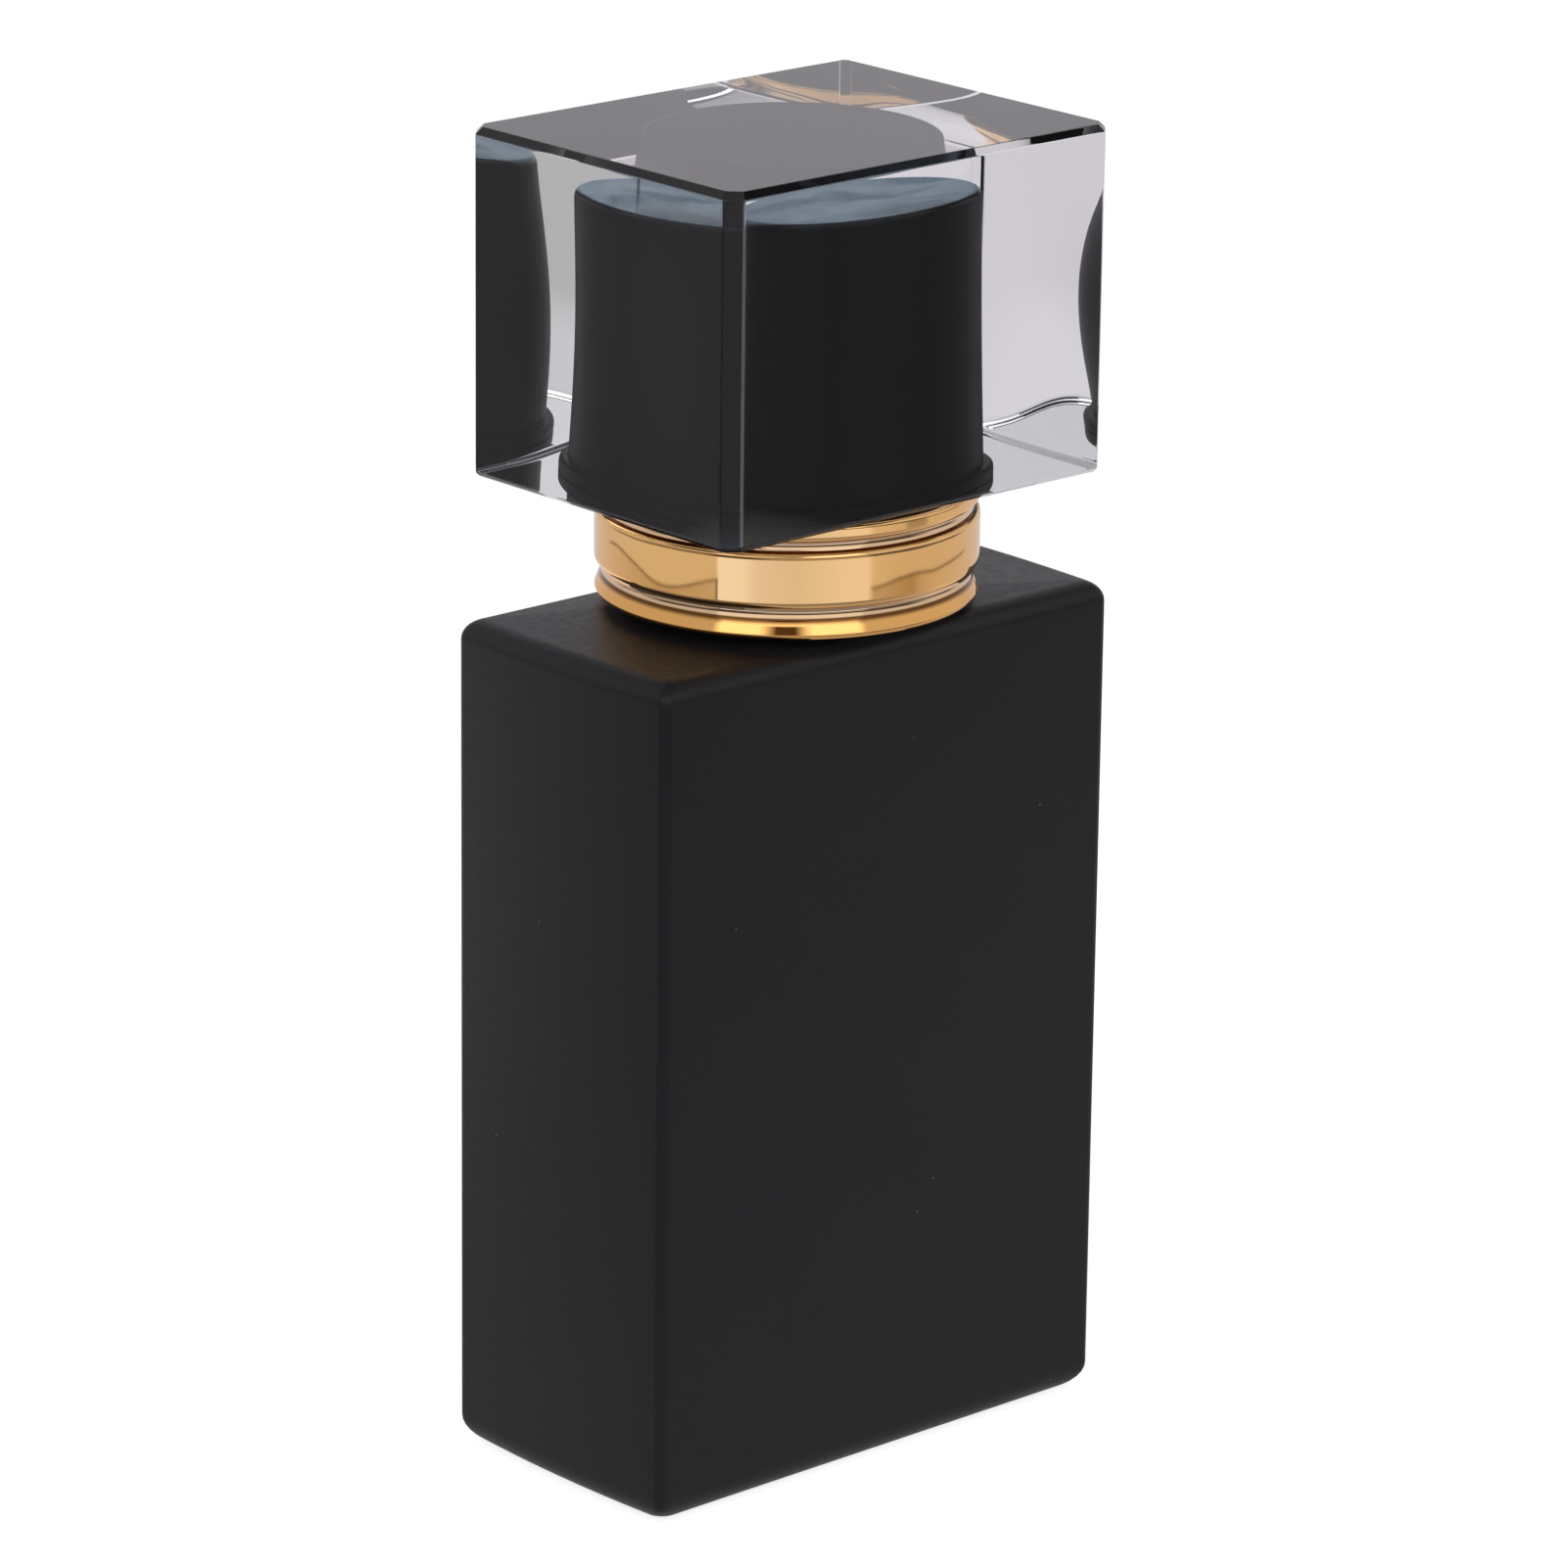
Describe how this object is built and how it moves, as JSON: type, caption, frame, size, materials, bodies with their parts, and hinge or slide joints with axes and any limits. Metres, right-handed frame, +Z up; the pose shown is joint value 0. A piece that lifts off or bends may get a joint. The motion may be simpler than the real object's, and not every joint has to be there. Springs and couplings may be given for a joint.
{
  "type": "aftershave bottle",
  "caption": "Flat rectangular black aftershave bottle with a screw-on spray pump, a gold collar with rolled grooves and a clear block cap over a black inner sleeve.",
  "frame": {"origin": "centre of the base, on the surface that the bottle stands on", "axes": "+Z up along the neck and the pump, +X along the wide face, -Y out of the wide face that the nozzle looks over"},
  "size_m": [0.044, 0.0288, 0.0989],
  "materials": {
    "black_lacquered_glass": "satin black lacquer over glass",
    "gilt_aluminium": "bright gold anodised",
    "clear_acrylic": "polished clear",
    "black_plastic": "moulded, smooth",
    "white_plastic": "moulded",
    "natural_plastic": "moulded, milky",
    "tube_plastic": "extruded, translucent",
    "grey_rubber": "matt",
    "stainless_steel": "bright drawn"
  },
  "bodies": {
    "bottle": {"glass_bottle": "black_lacquered_glass"},
    "pump": {"pump_housing": "natural_plastic", "housing_gland": "white_plastic", "gland_seal": "grey_rubber", "neck_gasket": "grey_rubber", "dip_tube": "tube_plastic", "return_spring": "stainless_steel"},
    "closure": {"screw_closure": "white_plastic", "collar_shell": "gilt_aluminium"},
    "cap": {"cap_block": "clear_acrylic", "cap_sleeve": "black_plastic"},
    "button": {"button_core": "white_plastic", "button_shell": "gilt_aluminium", "nozzle_insert": "black_plastic", "pump_stem": "white_plastic", "valve_pin": "white_plastic", "piston": "natural_plastic"},
    "ball": {"check_ball": "stainless_steel"}
  },
  "joints": [
    {"name": "pump_lift", "type": "slide", "parent": "bottle", "child": "pump", "axis": [0, 0, 1], "range_m": [0, 0.0048]},
    {"name": "closure_turn", "type": "hinge", "parent": "pump", "child": "closure", "pos_m": [0, 0, 0.0679], "axis": [0, 0, 1], "range_deg": [0, 540]},
    {"name": "cap_lift", "type": "slide", "parent": "closure", "child": "cap", "axis": [0, 0, 1], "range_m": [0, 0.02]},
    {"name": "button_press", "type": "slide", "parent": "pump", "child": "button", "axis": [0, 0, -1], "range_m": [0, 0.0042], "stiffness_N_per_m": 900, "springref_m": -0.002, "deforming": ["return_spring"]},
    {"name": "ball_lift", "type": "slide", "parent": "pump", "child": "ball", "axis": [0, 0, 1], "range_m": [0, 0.0008]}
  ],
  "couplings": [
    {"joint": "closure_turn", "follows": "pump_lift", "rad_per_m": 1963.5}
  ]
}
